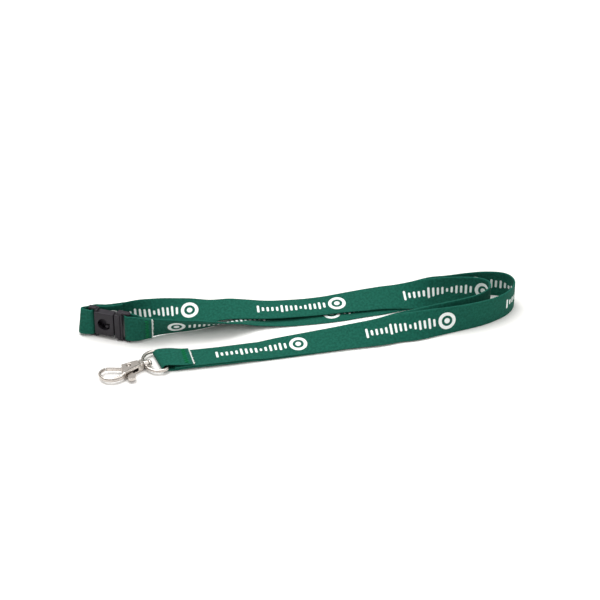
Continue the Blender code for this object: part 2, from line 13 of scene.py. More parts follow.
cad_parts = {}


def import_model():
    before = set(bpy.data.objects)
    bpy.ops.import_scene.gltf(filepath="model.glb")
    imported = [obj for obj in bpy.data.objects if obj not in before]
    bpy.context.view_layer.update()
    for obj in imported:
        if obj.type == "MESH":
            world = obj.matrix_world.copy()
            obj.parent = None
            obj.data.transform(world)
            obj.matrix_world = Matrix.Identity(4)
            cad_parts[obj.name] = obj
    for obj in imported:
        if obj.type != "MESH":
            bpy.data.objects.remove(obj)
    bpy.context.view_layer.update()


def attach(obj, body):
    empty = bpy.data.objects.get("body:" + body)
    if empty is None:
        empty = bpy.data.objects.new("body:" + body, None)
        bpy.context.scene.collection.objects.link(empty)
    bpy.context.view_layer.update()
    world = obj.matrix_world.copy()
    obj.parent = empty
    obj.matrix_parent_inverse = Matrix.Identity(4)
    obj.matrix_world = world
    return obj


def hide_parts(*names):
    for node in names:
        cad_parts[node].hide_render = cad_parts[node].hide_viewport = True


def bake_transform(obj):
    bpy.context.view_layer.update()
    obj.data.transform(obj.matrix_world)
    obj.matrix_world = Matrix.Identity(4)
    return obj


MM = 0.001

# Camera and light
AIM = Vector((0.0005, 0.0360, 0.0))
CAMERA_DISTANCE = 1.1
CAMERA_ELEVATION = 34.0
LENS = 123.4
WORLD_STRENGTH = 0.95
SKY = ((0.15, (0.34, 0.33, 0.32, 1.0)), (0.85, (1.0, 0.995, 0.985, 1.0)))
# Each lamp's name, its place and size in metres, and its power in watts
LAMPS = (("key", (-0.35, 0.25, 1.2), 0.9, 13.0), ("fill", (0.7, -0.5, 1.1), 0.9, 3.0))
FLOOR_SIZE = 6.0  # in metres
FLOOR_DROP = 0.1  # in mm, so that the object's underside stays clear of the floor
FLOOR_TONES = ((0.92, 0.91, 0.895), (0.94, 0.93, 0.915))

# Colours
DYE = ((0.005, 0.072, 0.049), (0.010, 0.115, 0.078))
DYE_FUZZ = (0.017, 0.144, 0.103)
DYE_MOTTLE = (0.004, 0.063, 0.043)
DYE_CLOUD = (0.006, 0.094, 0.061)
DYE_SELVEDGE = (0.022, 0.160, 0.118)
INK = ((0.56, 0.64, 0.61), (0.83, 0.87, 0.85))
CUT_END = (0.80, 0.83, 0.80)
THREAD = ((0.001, 0.120, 0.045), (0.003, 0.235, 0.085))
RAW_FIBRE = ((0.60, 0.64, 0.61), (0.83, 0.86, 0.83))
NICKEL = (0.58, 0.535, 0.495)
SPRING_WIRE = (0.55, 0.54, 0.53)
PLASTIC = ((0.011, 0.009, 0.013), (0.018, 0.015, 0.021))
# Painted highlight: the lighter colour laid along the buckle's sharp edges, where light would catch them
PLASTIC_EDGE_HIGHLIGHT = (0.048, 0.043, 0.052)

# Strap, in mm. Its rows lie FINE_STEP apart, and closer where it turns by FINE_TURN degrees or more.
STRAP_WIDTH = 15.0
STRAP_THICKNESS = 0.8
FINE_STEP = 1.0
FINE_TURN = 5.0
ACROSS = 12
RIPPLE = 0.09
RIPPLE_LENGTH = 9.0
FRAY = 0.006  # share of the half width
FRAY_LENGTH = 1.1
CUT_END_WHITE = 0.9
FIBRE_COUNT = 60

# Weave, in mm
CHEVRON_PERIOD = 3.0
TWILL_ALONG = 0.85
TWILL_ACROSS = 0.75
YARN_PERIOD = 0.8

# Print, in mm: a ringed disc and a row of rounded bars, repeated
PRINT_PITCH = 79.0
PRINT_CUT = 20.0  # the repeat is counted from this far before its disc
OUTER_FACE_DISC = 65.5
OUTER_BACK_DISC = 60.2
INNER_DISC = 52.4
OUTER_PLAIN = (0.0, 18.0)
INNER_PLAIN = (22.0, 0.0)
DISC_RADIUS = 4.7
RING_INNER = 1.5
RING_OUTER = 2.9
BARS_START = 5.6
BAR_PITCH = 2.55
BAR_COUNT = 15
BAR_RADIUS = 0.62
BAR_HEIGHT = 1.45
BAR_WAVES = ((0.95, 0.6), (2.3, 0.4))

# Stitches, in mm: a seam's two rows are distances from an end of the strap, or from the loop's start
THREAD_RADIUS = 0.22
STITCH_PASSES = 7
STITCH_ARCH = ((0.0, 0.1), (0.12, 0.45), (0.35, 0.62), (0.65, 0.62), (0.88, 0.45), (1.0, 0.1))
STITCH_SWELL = (0.7, 1.0, 1.1, 1.1, 1.0, 0.7)
HOOK_SEAM = (2.2, 4.9)
TONGUE_SEAM = (-2.0, -4.2)
SOCKET_SEAM = (2.6, 4.8)

# Hook, in mm. Its origin and the strap's fold over its ring are places in the world; the rest is in
# the hook's own frame, with +X towards the claw and +Y towards the thumb tab.
HOOK_ORIGIN = (-71.4, -22.6, 2.2)
HOOK_HEADING = 204.0
FOLD_CENTRE = (-70.0, -22.0, 2.2)
FOLD_HEADING = 22.0
FOLD_REACH = (2.2, 1.75)
RING_BAR_X = -1.5
RING_WIRE = 0.9
HUB_RADIUS = 2.25
HUB_BORE = 1.3
SHANK_RADIUS = 1.05
BODY_HEIGHT = 4.4
CLAW_HEIGHT = 1.3
CLAW_WIDTH = 0.85 ** 0.5
LEVER_HALF = 0.7
LEVER_PIVOT = (16.5, -0.1)
PIN_RADIUS = 0.65
SPRING_RADIUS = 0.65
SPRING_WIRE_RADIUS = 0.11
SPRING_TURNS = 4

# Buckle, in mm. Its origin is a place in the world; the rest is in the buckle's own frame, with +X from
# the socket half's bar to the tongue half and +Y to the far side.
BUCKLE_ORIGIN = (-111.0, 5.6, 8.8)
BUCKLE_HEADING = -18.0
BAR_REACH = 8.3
TONGUE_BAR_RADIUS = 1.1
TONGUE_BAR_X = 24.2
SOCKET_BAR_RADIUS = 0.9
SOCKET_BAR_X = 3.2
WINDOW_X = 11.1
WINDOW_RADIUS = 3.4
WINDOW_RIM = 3.8

# Routes of the strap's middle line: x, y and the clear height under the strap in mm, then its
# heading and lean in degrees. Lean 0 lies flat, 90 stands on edge.
OUTER_ROUTE = [
    (-64.6, -21.5, 1.2, 12, 0), (-59, -20.6, 1.2, 10, -2), (-52.3, -19.5, 1.2, 9, -3),
    (-38, -16.8, 1.2, 10, -3), (-25.2, -13.9, 1.15, 10.5, -2), (-10.4, -10.8, 1.1, 11, 5),
    (9.7, -6.6, 0.85, 12, 13), (25.2, -3.4, 0.75, 12, 20), (41, -1.1, 0.55, 13, 33),
    (51.5, 1.2, 0.4, 14, 45), (61.9, 2.2, 0.25, 16, 58), (78.4, 6.2, 0.1, 20, 80),
    (95, 12.1, 0, 25, 87), (105.7, 18.3, 0, 38, 90), (111.4, 24.3, 0, 58, 90), (114.1, 31.2, 0, 86, 90),
    (112.4, 37, 0, 122, 90), (107.3, 40.3, 0, 158, 90), (98, 40.9, 0, 182, 90), (88, 39.1, 0, 188, 92),
    (76, 35.9, 0, 194, 98), (65, 33.3, 0, 196, 128), (53, 31.8, 0, 194, 155), (42.5, 29, 0, 192, 172),
    (31.8, 26.2, 0, 191, 179), (21.3, 23.1, 0, 190, 180), (9, 20.5, 0, 189, 180),
    (-5, 18.2, 0, 188, 181), (-21, 15.6, 0, 190, 188), (-30, 12, 0, 190, 201), (-38.5, 7.8, 0, 190, 214),
    (-52, 3.8, 0, 188, 231), (-62.3, 2, 0, 190, 238), (-72, 0.2, 0.3, 190, 246),
    (-79, -1.8, 0.8, 186, 257), (-84.6, -1.2, 1.25, 172, 268), (-87.6, -0.1, 1.3, 163, 270),
]
INNER_ROUTE = [
    (-67.2, -21.8, 0.15, 17, 0), (-64.4, -21.4, 0.1, 13, 0), (-59, -20.6, 0.1, 10, -2),
    (-52.3, -19.5, 0.1, 9, -3), (-38, -16.8, 0.1, 10, -3), (-25.2, -13.9, 0.05, 10.5, -2),
    (-10.4, -10.7, 0, 11, 5), (9.7, -6.2, 0, 12, 13), (25.1, -2.7, 0, 12, 20), (40.8, -0.3, 0, 13, 33),
    (51.2, 2.5, 0, 14, 45), (61.4, 4.8, 0, 17, 58), (69, 7.5, 0, 20, 67), (78.6, 11.4, 0, 22, 80),
    (89.2, 16.4, 0, 27, 88), (96.2, 21, 0, 42, 90), (100.5, 26.2, 0, 68, 90), (100.6, 31.4, 0, 112, 90),
    (96.4, 34.7, 0, 155, 90), (88, 35.4, 0.1, 182, 92), (78, 34.4, 0.2, 187, 97),
    (69, 32.2, 0.3, 192, 112), (61.5, 31.4, 0.8, 193, 135), (53.3, 31.6, 1.5, 192, 153),
    (42.7, 31, 1.8, 190, 161), (32, 29.7, 1.6, 190, 166), (21.5, 28.3, 1.6, 190, 172),
    (10.8, 26.3, 1.5, 188, 175), (0.5, 24.1, 2, 186, 176), (-15.5, 20.7, 3.1, 186, 175),
    (-26, 19.7, 3.7, 185, 172), (-36.5, 19.3, 3.7, 183, 168), (-47, 19.9, 1.2, 178, 162),
    (-57.5, 20.4, 0.5, 178, 156), (-68, 17.6, 0.2, 188, 142), (-77.5, 13.5, 0.5, 196, 122),
    (-85, 11.1, 1, 200, 102), (-89.9, 10.08, 1.3, 196, 90),
]


# ---- lines ----

def catmull_rom(before, a, b, after, t):
    return [0.5 * (2 * q + (r - p) * t + (2 * p - 5 * q + 4 * r - s) * t ** 2
                   + (3 * q - p - 3 * r + s) * t ** 3)
            for p, q, r, s in zip(before, a, b, after)]


def smooth_route(route, step, turn_step):
    """Rows on a smooth line through the route's own rows, closer together where it turns."""
    rows = [list(row) for row in route]
    first = [2 * a - b for a, b in zip(rows[0], rows[1])]
    last = [2 * a - b for a, b in zip(rows[-1], rows[-2])]
    knots = [first] + rows + [last]
    samples = []
    for i in range(1, len(knots) - 2):
        before, a, b, after = knots[i - 1:i + 3]
        turn = max(abs(b[3] - a[3]), abs(b[4] - a[4]))
        count = max(1, math.ceil(math.dist(a[:3], b[:3]) / step), math.ceil(turn / turn_step))
        samples += [catmull_rom(before, a, b, after, k / count) for k in range(count)]
    return samples + [rows[-1]]


def smooth_line(points, steps, closed=False):
    """A smooth line through points of any dimension, with the same number of steps in each span."""
    if closed:
        knots = [points[-1]] + list(points) + list(points[:2])
    else:
        first = [2 * a - b for a, b in zip(points[0], points[1])]
        last = [2 * a - b for a, b in zip(points[-1], points[-2])]
        knots = [first] + list(points) + [last]
    line = [catmull_rom(*knots[i - 1:i + 3], k / steps)
            for i in range(1, len(knots) - 2) for k in range(steps)]
    return line if closed else line + [list(points[-1])]


def arc(centre, radius, start, end, step=20.0):
    count = max(2, math.ceil(abs(end - start) / step))
    angles = [math.radians(start + (end - start) * k / count) for k in range(count + 1)]
    return [(centre[0] + radius * math.cos(a), centre[1] + radius * math.sin(a), a) for a in angles]


# ---- materials ----

class Look:
    """One material and short calls that add shader nodes to it."""

    def __init__(self, name, roughness, metallic=0.0):
        self.material = bpy.data.materials.new(name)
        self.material.use_nodes = True
        self.tree = self.material.node_tree
        self.shader = self.tree.nodes["Principled BSDF"]
        self.shader.inputs["Roughness"].default_value = roughness
        self.shader.inputs["Metallic"].default_value = metallic

    def put(self, socket, value):
        if isinstance(value, bpy.types.NodeSocket):
            self.tree.links.new(value, socket)
        else:
            socket.default_value = value

    def math(self, operation, a, b=0.0, clamp=False):
        node = self.tree.nodes.new("ShaderNodeMath")
        node.operation = operation
        node.use_clamp = clamp
        self.put(node.inputs[0], a)
        self.put(node.inputs[1], b)
        return node.outputs[0]

    def blend(self, factor, a, b):
        node = self.tree.nodes.new("ShaderNodeMix")
        node.data_type = "RGBA"
        self.put(node.inputs["Factor"], factor)
        for name, value in (("A", a), ("B", b)):
            socket = [s for s in node.inputs if s.name == name and s.type == "RGBA"][0]
            self.put(socket, value if isinstance(value, bpy.types.NodeSocket) else (*value, 1.0))
        return [s for s in node.outputs if s.type == "RGBA"][0]

    def spread(self, value, low, high, to_low, to_high):
        node = self.tree.nodes.new("ShaderNodeMapRange")
        node.interpolation_type = "SMOOTHSTEP"
        for index, number in enumerate((value, low, high, to_low, to_high)):
            self.put(node.inputs[index], number)
        return node.outputs[0]

    def object_place(self):
        return self.tree.nodes.new("ShaderNodeTexCoord").outputs["Object"]

    def flat_place(self):
        """Distance along the strap and across it, in mm, from the strap's own map."""
        node = self.tree.nodes.new("ShaderNodeUVMap")
        node.uv_map = "strap"
        split = self.tree.nodes.new("ShaderNodeSeparateXYZ")
        self.tree.links.new(node.outputs[0], split.inputs[0])
        return node.outputs[0], split.outputs[0], split.outputs[1]

    def noise(self, place, scale, detail=2.0):
        node = self.tree.nodes.new("ShaderNodeTexNoise")
        node.inputs["Scale"].default_value = scale
        node.inputs["Detail"].default_value = detail
        self.tree.links.new(place, node.inputs["Vector"])
        return node.outputs["Fac"]

    def bump(self, height, strength, distance):
        node = self.tree.nodes.new("ShaderNodeBump")
        node.inputs["Strength"].default_value = strength
        node.inputs["Distance"].default_value = distance
        self.tree.links.new(height, node.inputs["Height"])
        self.tree.links.new(node.outputs[0], self.shader.inputs["Normal"])


def wave(look, value, period):
    return look.math("SINE", look.math("MULTIPLY", value, 2 * math.pi / period))


def distance_of(look, a, b):
    """The length of the pair a, b, where b is never negative."""
    squares = look.math("POWER", look.math("ABSOLUTE", a), 2.0), look.math("POWER", b, 2.0)
    return look.math("SQRT", look.math("ADD", *squares))


def print_mask(look, along, across, centre, direction):
    """1 where the ink is: discs centred at one distance along the strap, bars after each of them."""
    shifted = look.math("MULTIPLY", look.math("SUBTRACT", along, centre), direction)
    cut = look.math("FLOORED_MODULO", look.math("ADD", shifted, PRINT_CUT), PRINT_PITCH)
    place = look.math("SUBTRACT", cut, PRINT_CUT)
    up = look.math("ABSOLUTE", across)
    reach = distance_of(look, place, up)
    disc = look.math("LESS_THAN", reach, DISC_RADIUS)
    hole = look.math("MULTIPLY", look.math("GREATER_THAN", reach, RING_INNER),
                     look.math("LESS_THAN", reach, RING_OUTER))
    disc = look.math("SUBTRACT", disc, hole, clamp=True)

    run = look.math("DIVIDE", look.math("SUBTRACT", place, BARS_START), BAR_PITCH)
    index = look.math("FLOOR", run)
    beside = look.math("MULTIPLY", look.math("SUBTRACT", look.math("FRACT", run), 0.5), BAR_PITCH)
    height = BAR_HEIGHT
    for rate, size in BAR_WAVES:
        swell = look.math("MULTIPLY", look.math("SINE", look.math("MULTIPLY", index, rate)), size)
        height = look.math("ADD", swell, height)
    over = look.math("MAXIMUM", look.math("SUBTRACT", up, height), 0.0)
    bar = look.math("LESS_THAN", distance_of(look, beside, over), BAR_RADIUS)
    inside = look.math("MULTIPLY", look.math("GREATER_THAN", index, -0.5),
                       look.math("LESS_THAN", index, BAR_COUNT - 0.5))
    return look.math("MAXIMUM", disc, look.math("MULTIPLY", bar, inside))


def webbing_look(name, centre, direction, length, white_start, white_end, plain):
    """Dyed woven polyester with the white print on it, and undyed fibre at a cut end."""
    look = Look(name, 0.85)
    place, along, across = look.flat_place()
    chevron = look.math("SIGN", wave(look, across, CHEVRON_PERIOD))
    lay = look.math("ADD", look.math("DIVIDE", along, TWILL_ALONG),
                    look.math("MULTIPLY", look.math("DIVIDE", across, TWILL_ACROSS), chevron))
    twill = look.math("ABSOLUTE", look.math("SINE", look.math("MULTIPLY", lay, math.pi)))
    yarn = look.math("ABSOLUTE", wave(look, across, YARN_PERIOD))
    weave = look.math("ADD", look.math("MULTIPLY", twill, 0.65), look.math("MULTIPLY", yarn, 0.35))
    fuzz = look.noise(place, 2.6, 3.0)
    mottle = look.noise(place, 0.8, 3.0)
    cloud = look.noise(place, 0.07, 2.0)
    green = look.blend(look.spread(weave, 0.1, 0.9, 0.0, 1.0), *DYE)
    green = look.blend(look.spread(fuzz, 0.35, 0.7, 0.0, 0.35), green, DYE_FUZZ)
    green = look.blend(look.spread(mottle, 0.35, 0.65, 0.0, 0.75), green, DYE_MOTTLE)
    green = look.blend(look.spread(cloud, 0.35, 0.7, 0.0, 0.25), green, DYE_CLOUD)
    edge = look.spread(look.math("ABSOLUTE", across), 6.8, 7.4, 0.0, 0.25)
    green = look.blend(edge, green, DYE_SELVEDGE)
    ink = look.blend(look.spread(weave, 0.05, 0.5, 0.0, 1.0), *INK)
    printed = look.math("MULTIPLY", look.math("GREATER_THAN", along, plain[0]),
                        look.math("LESS_THAN", along, length - plain[1]))
    printed = look.math("MULTIPLY", printed, print_mask(look, along, across, centre, direction))
    color = look.blend(printed, green, ink)
    ragged = look.math("MULTIPLY", look.noise(place, 1.7, 2.0), 0.9)
    for wanted, distance in ((white_start, along), (white_end, look.math("SUBTRACT", length, along))):
        if wanted:
            near = look.math("SUBTRACT", look.math("ADD", distance, ragged), CUT_END_WHITE)
            raw = look.spread(near, -0.15, 0.25, 1.0, 0.0)
            color = look.blend(raw, color, CUT_END)
    look.put(look.shader.inputs["Base Color"], color)
    look.put(look.shader.inputs["Roughness"], look.spread(fuzz, 0.3, 0.7, 0.7, 0.86))
    look.shader.inputs["Sheen Weight"].default_value = 0.03
    look.shader.inputs["Sheen Roughness"].default_value = 0.45
    look.shader.inputs["Specular IOR Level"].default_value = 0.08
    look.bump(look.math("ADD", weave, look.math("MULTIPLY", fuzz, 0.5)), 0.55, 0.00012)
    return look.material


def thread_look(name, tones):
    """Spun thread or loose fibre, between its two tones."""
    look = Look(name, 0.5)
    grain = look.noise(look.object_place(), 5200.0, 2.0)
    mixed = look.blend(look.spread(grain, 0.3, 0.7, 0.0, 1.0), *tones)
    look.put(look.shader.inputs["Base Color"], mixed)
    look.shader.inputs["Specular IOR Level"].default_value = 0.12
    look.bump(grain, 0.4, 0.00005)
    return look.material


def nickel_look(name, color, roughness):
    """Bright plating over a casting: slightly uneven, with a few dull patches."""
    look = Look(name, roughness, 1.0)
    place = look.object_place()
    fine = look.noise(place, 1900.0, 3.0)
    broad = look.noise(place, 240.0, 2.0)
    dull = tuple(value * 0.86 for value in color)
    patches = look.spread(broad, 0.35, 0.7, 0.0, 1.0)
    look.put(look.shader.inputs["Base Color"], look.blend(patches, color, dull))
    look.put(look.shader.inputs["Roughness"],
             look.math("ADD", look.spread(broad, 0.3, 0.7, roughness - 0.06, roughness + 0.08),
                       look.math("MULTIPLY", fine, 0.08)))
    look.bump(look.math("ADD", look.math("MULTIPLY", broad, 0.7), look.math("MULTIPLY", fine, 0.3)),
              0.16, 0.00012)
    return look.material


def plastic_look(name):
    """Black moulded plastic with a fine spark-eroded texture, and a painted highlight that lightens its
    sharp edges.
    """
    look = Look(name, 0.42)
    place = look.object_place()
    pits = look.noise(place, 4200.0, 2.0)
    broad = look.noise(place, 160.0, 2.0)
    edges = look.tree.nodes.new("ShaderNodeNewGeometry").outputs["Pointiness"]
    color = look.blend(look.spread(broad, 0.3, 0.7, 0.0, 1.0), *PLASTIC)
    # Painted highlight: the sharp convex edges (high pointiness) are lightened
    edge_highlight = look.spread(edges, 0.51, 0.57, 0.0, 0.6)
    look.put(look.shader.inputs["Base Color"], look.blend(edge_highlight, color, PLASTIC_EDGE_HIGHLIGHT))
    look.put(look.shader.inputs["Roughness"], look.spread(pits, 0.3, 0.7, 0.36, 0.52))
    look.shader.inputs["Specular IOR Level"].default_value = 0.28
    look.bump(pits, 0.35, 0.00006)
    return look.material


# ---- straps ----

def clear_height(z, lean):
    """The clear height under a strap whose middle line is at z."""
    lean = math.radians(lean)
    return z - (STRAP_WIDTH * abs(math.sin(lean)) + STRAP_THICKNESS * abs(math.cos(lean))) / 2


def strap_section(row):
    """The middle and the half width of the strap at a row of its route."""
    x, y, clear, heading, lean = row
    turn, tilt = math.radians(heading), math.radians(lean)
    side = Vector((-math.sin(turn) * math.cos(tilt), math.cos(turn) * math.cos(tilt), math.sin(tilt)))
    middle = Vector((x, y, clear - clear_height(0.0, lean))) * MM
    return middle, side * STRAP_WIDTH / 2 * MM


def sections(samples):
    """The middle, the half width and the face normal of the strap at every row."""
    places = [strap_section(row) for row in samples]
    found = []
    for k, (middle, side) in enumerate(places):
        ahead = places[min(k + 1, len(places) - 1)][0] - places[max(k - 1, 0)][0]
        found.append((middle, side, ahead.cross(side).normalized()))
    return found


def hook_tail_rows():
    """The inner strand's tail: from its cut end, over the ring's bar and round it to its underside."""
    x, y, z = FOLD_CENTRE
    turn = math.radians(FOLD_HEADING)
    reach, rise = FOLD_REACH
    rows = [(-54.9, -19.9, 2.35, 14, -3), (-58.6, -20.5, 2.5, 13, -2), (-61.6, -21.0, 3.0, 13, -1),
            (-65.0, -21.4, 3.5, 15, 0), (-67.8, -21.7, 3.6, 19, 0)]
    for back, lift, _ in arc((0.0, 0.0), 1.0, 90.0, 270.0):
        rows.append((x + reach * back * math.cos(turn), y + reach * back * math.sin(turn),
                     clear_height(z + rise * lift, 0.0), FOLD_HEADING, 0))
    return rows


def loop_rows(path):
    """Strap rows from rows of x, y, heading and lean in the buckle's own frame."""
    turn = math.radians(BUCKLE_HEADING)
    x0, y0, z = BUCKLE_ORIGIN
    return [(x0 + x * math.cos(turn) - y * math.sin(turn), y0 + x * math.sin(turn) + y * math.cos(turn),
             clear_height(z, lean), BUCKLE_HEADING + own, lean) for x, y, own, lean in path]


def tongue_loop_rows():
    """The outer strand's end: round the tongue half's bar and back along its own front."""
    reach = TONGUE_BAR_RADIUS + 0.3 + STRAP_THICKNESS / 2
    turn = arc((TONGUE_BAR_X, 0.0), reach, 90.0, 270.0)
    path = [(x, y, math.degrees(a) + 90.0, 270) for x, y, a in turn]
    return loop_rows(path) + [(-84.9, -3.9, 1.3, 350, 270), (-81.9, -3.7, 1.1, 358, 275),
                              (-78.8, -2.9, 0.8, 366, 282), (-75.6, -2.2, 0.6, 368, 287)]


def socket_loop_rows():
    """The inner strand's end: behind the socket half, round its bar and back through its slot."""
    path = [(18.4, 10.6, 214, 90), (14.2, 8.0, 211, 90), (9.5, 5.4, 200, 90), (5.5, 4.3, 195, 90),
            (3.9, 3.7, 205, 89), (2.0, 2.5, 214, 87), (0.2, 1.3, 212, 85)]
    path += [(x, y, math.degrees(a) + 90.0, 83) for x, y, a in arc((-0.9, -0.9), 1.5, 120.0, 265.0)]
    path += [(1.2, -2.4, 360, 86), (3.2, -2.15, 368, 90), (4.45, -1.5, 405, 90), (4.95, -0.2, 443, 90),
             (5.0, 1.3, 450, 90), (5.35, 2.7, 425, 90), (6.6, 3.25, 382, 90), (9.8, 3.95, 375, 90),
             (14.7, 6.6, 389, 90), (17.6, 8.4, 392, 90)]
    return loop_rows(path)


def lay_distances(samples):
    """How far along the strap each row is, in mm."""
    middles = [strap_section(row)[0] for row in samples]
    total = [0.0]
    for a, b in zip(middles, middles[1:]):
        total.append(total[-1] + (b - a).length / MM)
    return total


def section_outline():
    """The strap's cross-section: share of the half width, and of the half thickness, all round it."""
    flat = 1.0 - STRAP_THICKNESS / STRAP_WIDTH
    top = [(-flat + 2 * flat * k / ACROSS, 1.0) for k in range(ACROSS + 1)]
    swell = [(flat + (1 - flat) * math.sin(k * math.pi / 4), math.cos(k * math.pi / 4))
             for k in (1, 2, 3)]
    outline = top + swell
    return outline + [(-a, -h) for a, h in outline]


def webbing(name, samples, looks, seed, raw_ends):
    """A woven strap along its rows: two faces, rolled selvedges and cut ends, raw where they show."""
    outline = section_outline()
    distances = lay_distances(samples)
    strap = bmesh.new()
    map_layer = strap.loops.layers.uv.new("strap")
    rings = []
    places = {}
    for (middle, side, normal), distance in zip(sections(samples), distances):
        ring = []
        for across, up in outline:
            drift = noise.noise(Vector((distance / RIPPLE_LENGTH, across * 0.9, seed)))
            ripple = RIPPLE * drift * abs(across) ** 3
            ragged = noise.noise(Vector((distance / FRAY_LENGTH, across, seed + 7.0)))
            fray = FRAY * ragged * abs(across) ** 8
            lift = (up * STRAP_THICKNESS / 2 + ripple) * MM
            point = middle + side * (across + fray) + normal * lift
            vertex = strap.verts.new(point)
            places[vertex] = (distance, across * STRAP_WIDTH / 2)
            ring.append(vertex)
        rings.append(ring)
    count = len(outline)
    for ring, following in zip(rings, rings[1:]):
        for k in range(count):
            after = (k + 1) % count
            face = strap.faces.new((ring[k], following[k], following[after], ring[after]))
            face.material_index = 0 if k < count // 2 else 1
    for ring, raw in zip((rings[0], rings[-1][::-1]), raw_ends):
        strap.faces.new(ring).material_index = 2 if raw else 0
    for face in strap.faces:
        face.smooth = face.material_index < 2
        for loop in face.loops:
            loop[map_layer].uv = places[loop.vert]
    bmesh.ops.recalc_face_normals(strap, faces=strap.faces)
    mesh = bpy.data.meshes.new(name)
    strap.to_mesh(mesh)
    strap.free()
    return add_object(name, mesh, looks)


def add_object(name, mesh, looks):
    item = bpy.data.objects.new(name, mesh)
    bpy.context.scene.collection.objects.link(item)
    for look in looks:
        mesh.materials.append(look)
    return item


def section_at(samples, distance):
    """The strap's section at a distance in mm from its start, or from its end if it is negative."""
    distances = lay_distances(samples)
    found = sections(samples)
    if distance < 0:
        distance += distances[-1]
    for a, b, low, high in zip(found, found[1:], distances, distances[1:]):
        if distance <= high:
            t = (distance - low) / (high - low)
            return [u.lerp(v, t) for u, v in zip(a, b)]
    return found[-1]


def skin(solid, rings, closed=False):
    """Faces between each ring and the next, and over both ends where the rings aren't a closed row."""
    count = len(rings[0])
    for ring, following in zip(rings, rings[1:] + rings[:1] if closed else rings[1:]):
        for k in range(count):
            after = (k + 1) % count
            solid.faces.new((ring[k], ring[after], following[after], following[k]))
    if not closed:
        solid.faces.new(rings[0][::-1])
        solid.faces.new(rings[-1])


def tube(solid, points, radii, sides=8):
    """Adds a closed round tube along the points to a bmesh."""
    rings = []
    for k, (point, radius) in enumerate(zip(points, radii)):
        ahead = points[min(k + 1, len(points) - 1)] - points[max(k - 1, 0)]
        turn = Vector((0, 0, 1)).rotation_difference(ahead)
        ring = []
        for i in range(sides):
            a = 2 * math.pi * i / sides
            spoke = turn @ Vector((radius * math.cos(a), radius * math.sin(a), 0))
            ring.append(solid.verts.new(point + spoke))
        rings.append(ring)
    skin(solid, rings)


def finish_mesh(name, solid, looks, smooth=True):
    mesh = bpy.data.meshes.new(name)
    solid.to_mesh(mesh)
    solid.free()
    if smooth:
        mesh.shade_smooth()
    return add_object(name, mesh, looks)


def zigzag(name, samples, rows, face, look, seed):
    """Zigzag stitches over one face of a strap: each thread arches from hole to hole."""
    draw = random.Random(seed)
    solid = bmesh.new()
    holes = []
    for k in range(STITCH_PASSES * 2 + 1):
        distance = rows[k % 2] + draw.uniform(-0.12, 0.12)
        middle, side, normal = section_at(samples, distance)
        across = (k / STITCH_PASSES - 1.0) * 0.9 + draw.uniform(-0.008, 0.008)
        holes.append((middle + side * across, normal * face))
    for (start, up), (end, _) in zip(holes, holes[1:]):
        line = []
        for t, lift in STITCH_ARCH:
            line.append(start.lerp(end, t) + up * lift * MM)
        tube(solid, line, [THREAD_RADIUS * MM * share for share in STITCH_SWELL])
    return finish_mesh(name, solid, [look])


def frayed_end(name, samples, at_start, look, seed):
    """Loose fibres that stand out of a strap's cut end."""
    draw = random.Random(seed)
    ends = sections(samples)
    (middle, side, normal), inner = (ends[0], ends[1]) if at_start else (ends[-1], ends[-2])
    out = (middle - inner[0]).normalized()
    solid = bmesh.new()
    for _ in range(FIBRE_COUNT):
        root = middle + side * draw.uniform(-0.97, 0.97) + normal * draw.uniform(-0.33, 0.33) * MM
        root -= out * 0.2 * MM
        length = draw.uniform(0.35, 0.85) * MM
        bend = (side.normalized() * draw.uniform(-0.5, 0.5) + normal * draw.uniform(-0.4, 0.4)) * length
        line = [root, root + out * length * 0.55 + bend * 0.3, root + out * length + bend]
        tube(solid, line, [0.07 * MM, 0.06 * MM, 0.035 * MM], sides=5)
    return finish_mesh(name, solid, [look])


# ---- solids in a local frame, in mm ----

def box_shape(low, high, round_over=0.0):
    solid = bmesh.new()
    bmesh.ops.create_cube(solid, size=1.0)
    bmesh.ops.scale(solid, vec=[b - a for a, b in zip(low, high)], verts=solid.verts)
    bmesh.ops.translate(solid, vec=[(a + b) / 2 for a, b in zip(low, high)], verts=solid.verts)
    if round_over:
        bmesh.ops.bevel(solid, geom=list(solid.edges), offset=round_over, segments=3, profile=0.5,
                        affect="EDGES", clamp_overlap=True)
    return to_shape(solid)


def rod_shape(radius, start, end, segments=40, end_radius=None):
    start, end = Vector(start), Vector(end)
    solid = bmesh.new()
    far_radius = radius if end_radius is None else end_radius
    bmesh.ops.create_cone(solid, cap_ends=True, segments=segments, radius1=radius, radius2=far_radius,
                          depth=(end - start).length)
    turn = Vector((0, 0, 1)).rotation_difference(end - start).to_matrix().to_4x4()
    bmesh.ops.transform(solid, matrix=Matrix.Translation((start + end) / 2) @ turn, verts=solid.verts)
    return to_shape(solid)


def ball_shape(radius, centre, squeeze=(1.0, 1.0, 1.0)):
    solid = bmesh.new()
    bmesh.ops.create_uvsphere(solid, u_segments=36, v_segments=24, radius=radius)
    bmesh.ops.scale(solid, vec=squeeze, verts=solid.verts)
    bmesh.ops.translate(solid, vec=centre, verts=solid.verts)
    return to_shape(solid)


def plate_shape(outline, low, high):
    """A flat outline given its thickness, from height low to height high."""
    solid = bmesh.new()
    bottom = [solid.verts.new((x, y, low)) for x, y in outline]
    top = [solid.verts.new((x, y, high)) for x, y in outline]
    solid.faces.new(bottom[::-1])
    solid.faces.new(top)
    for k in range(len(outline)):
        after = (k + 1) % len(outline)
        solid.faces.new((bottom[k], bottom[after], top[after], top[k]))
    bmesh.ops.recalc_face_normals(solid, faces=solid.faces)
    return to_shape(solid)


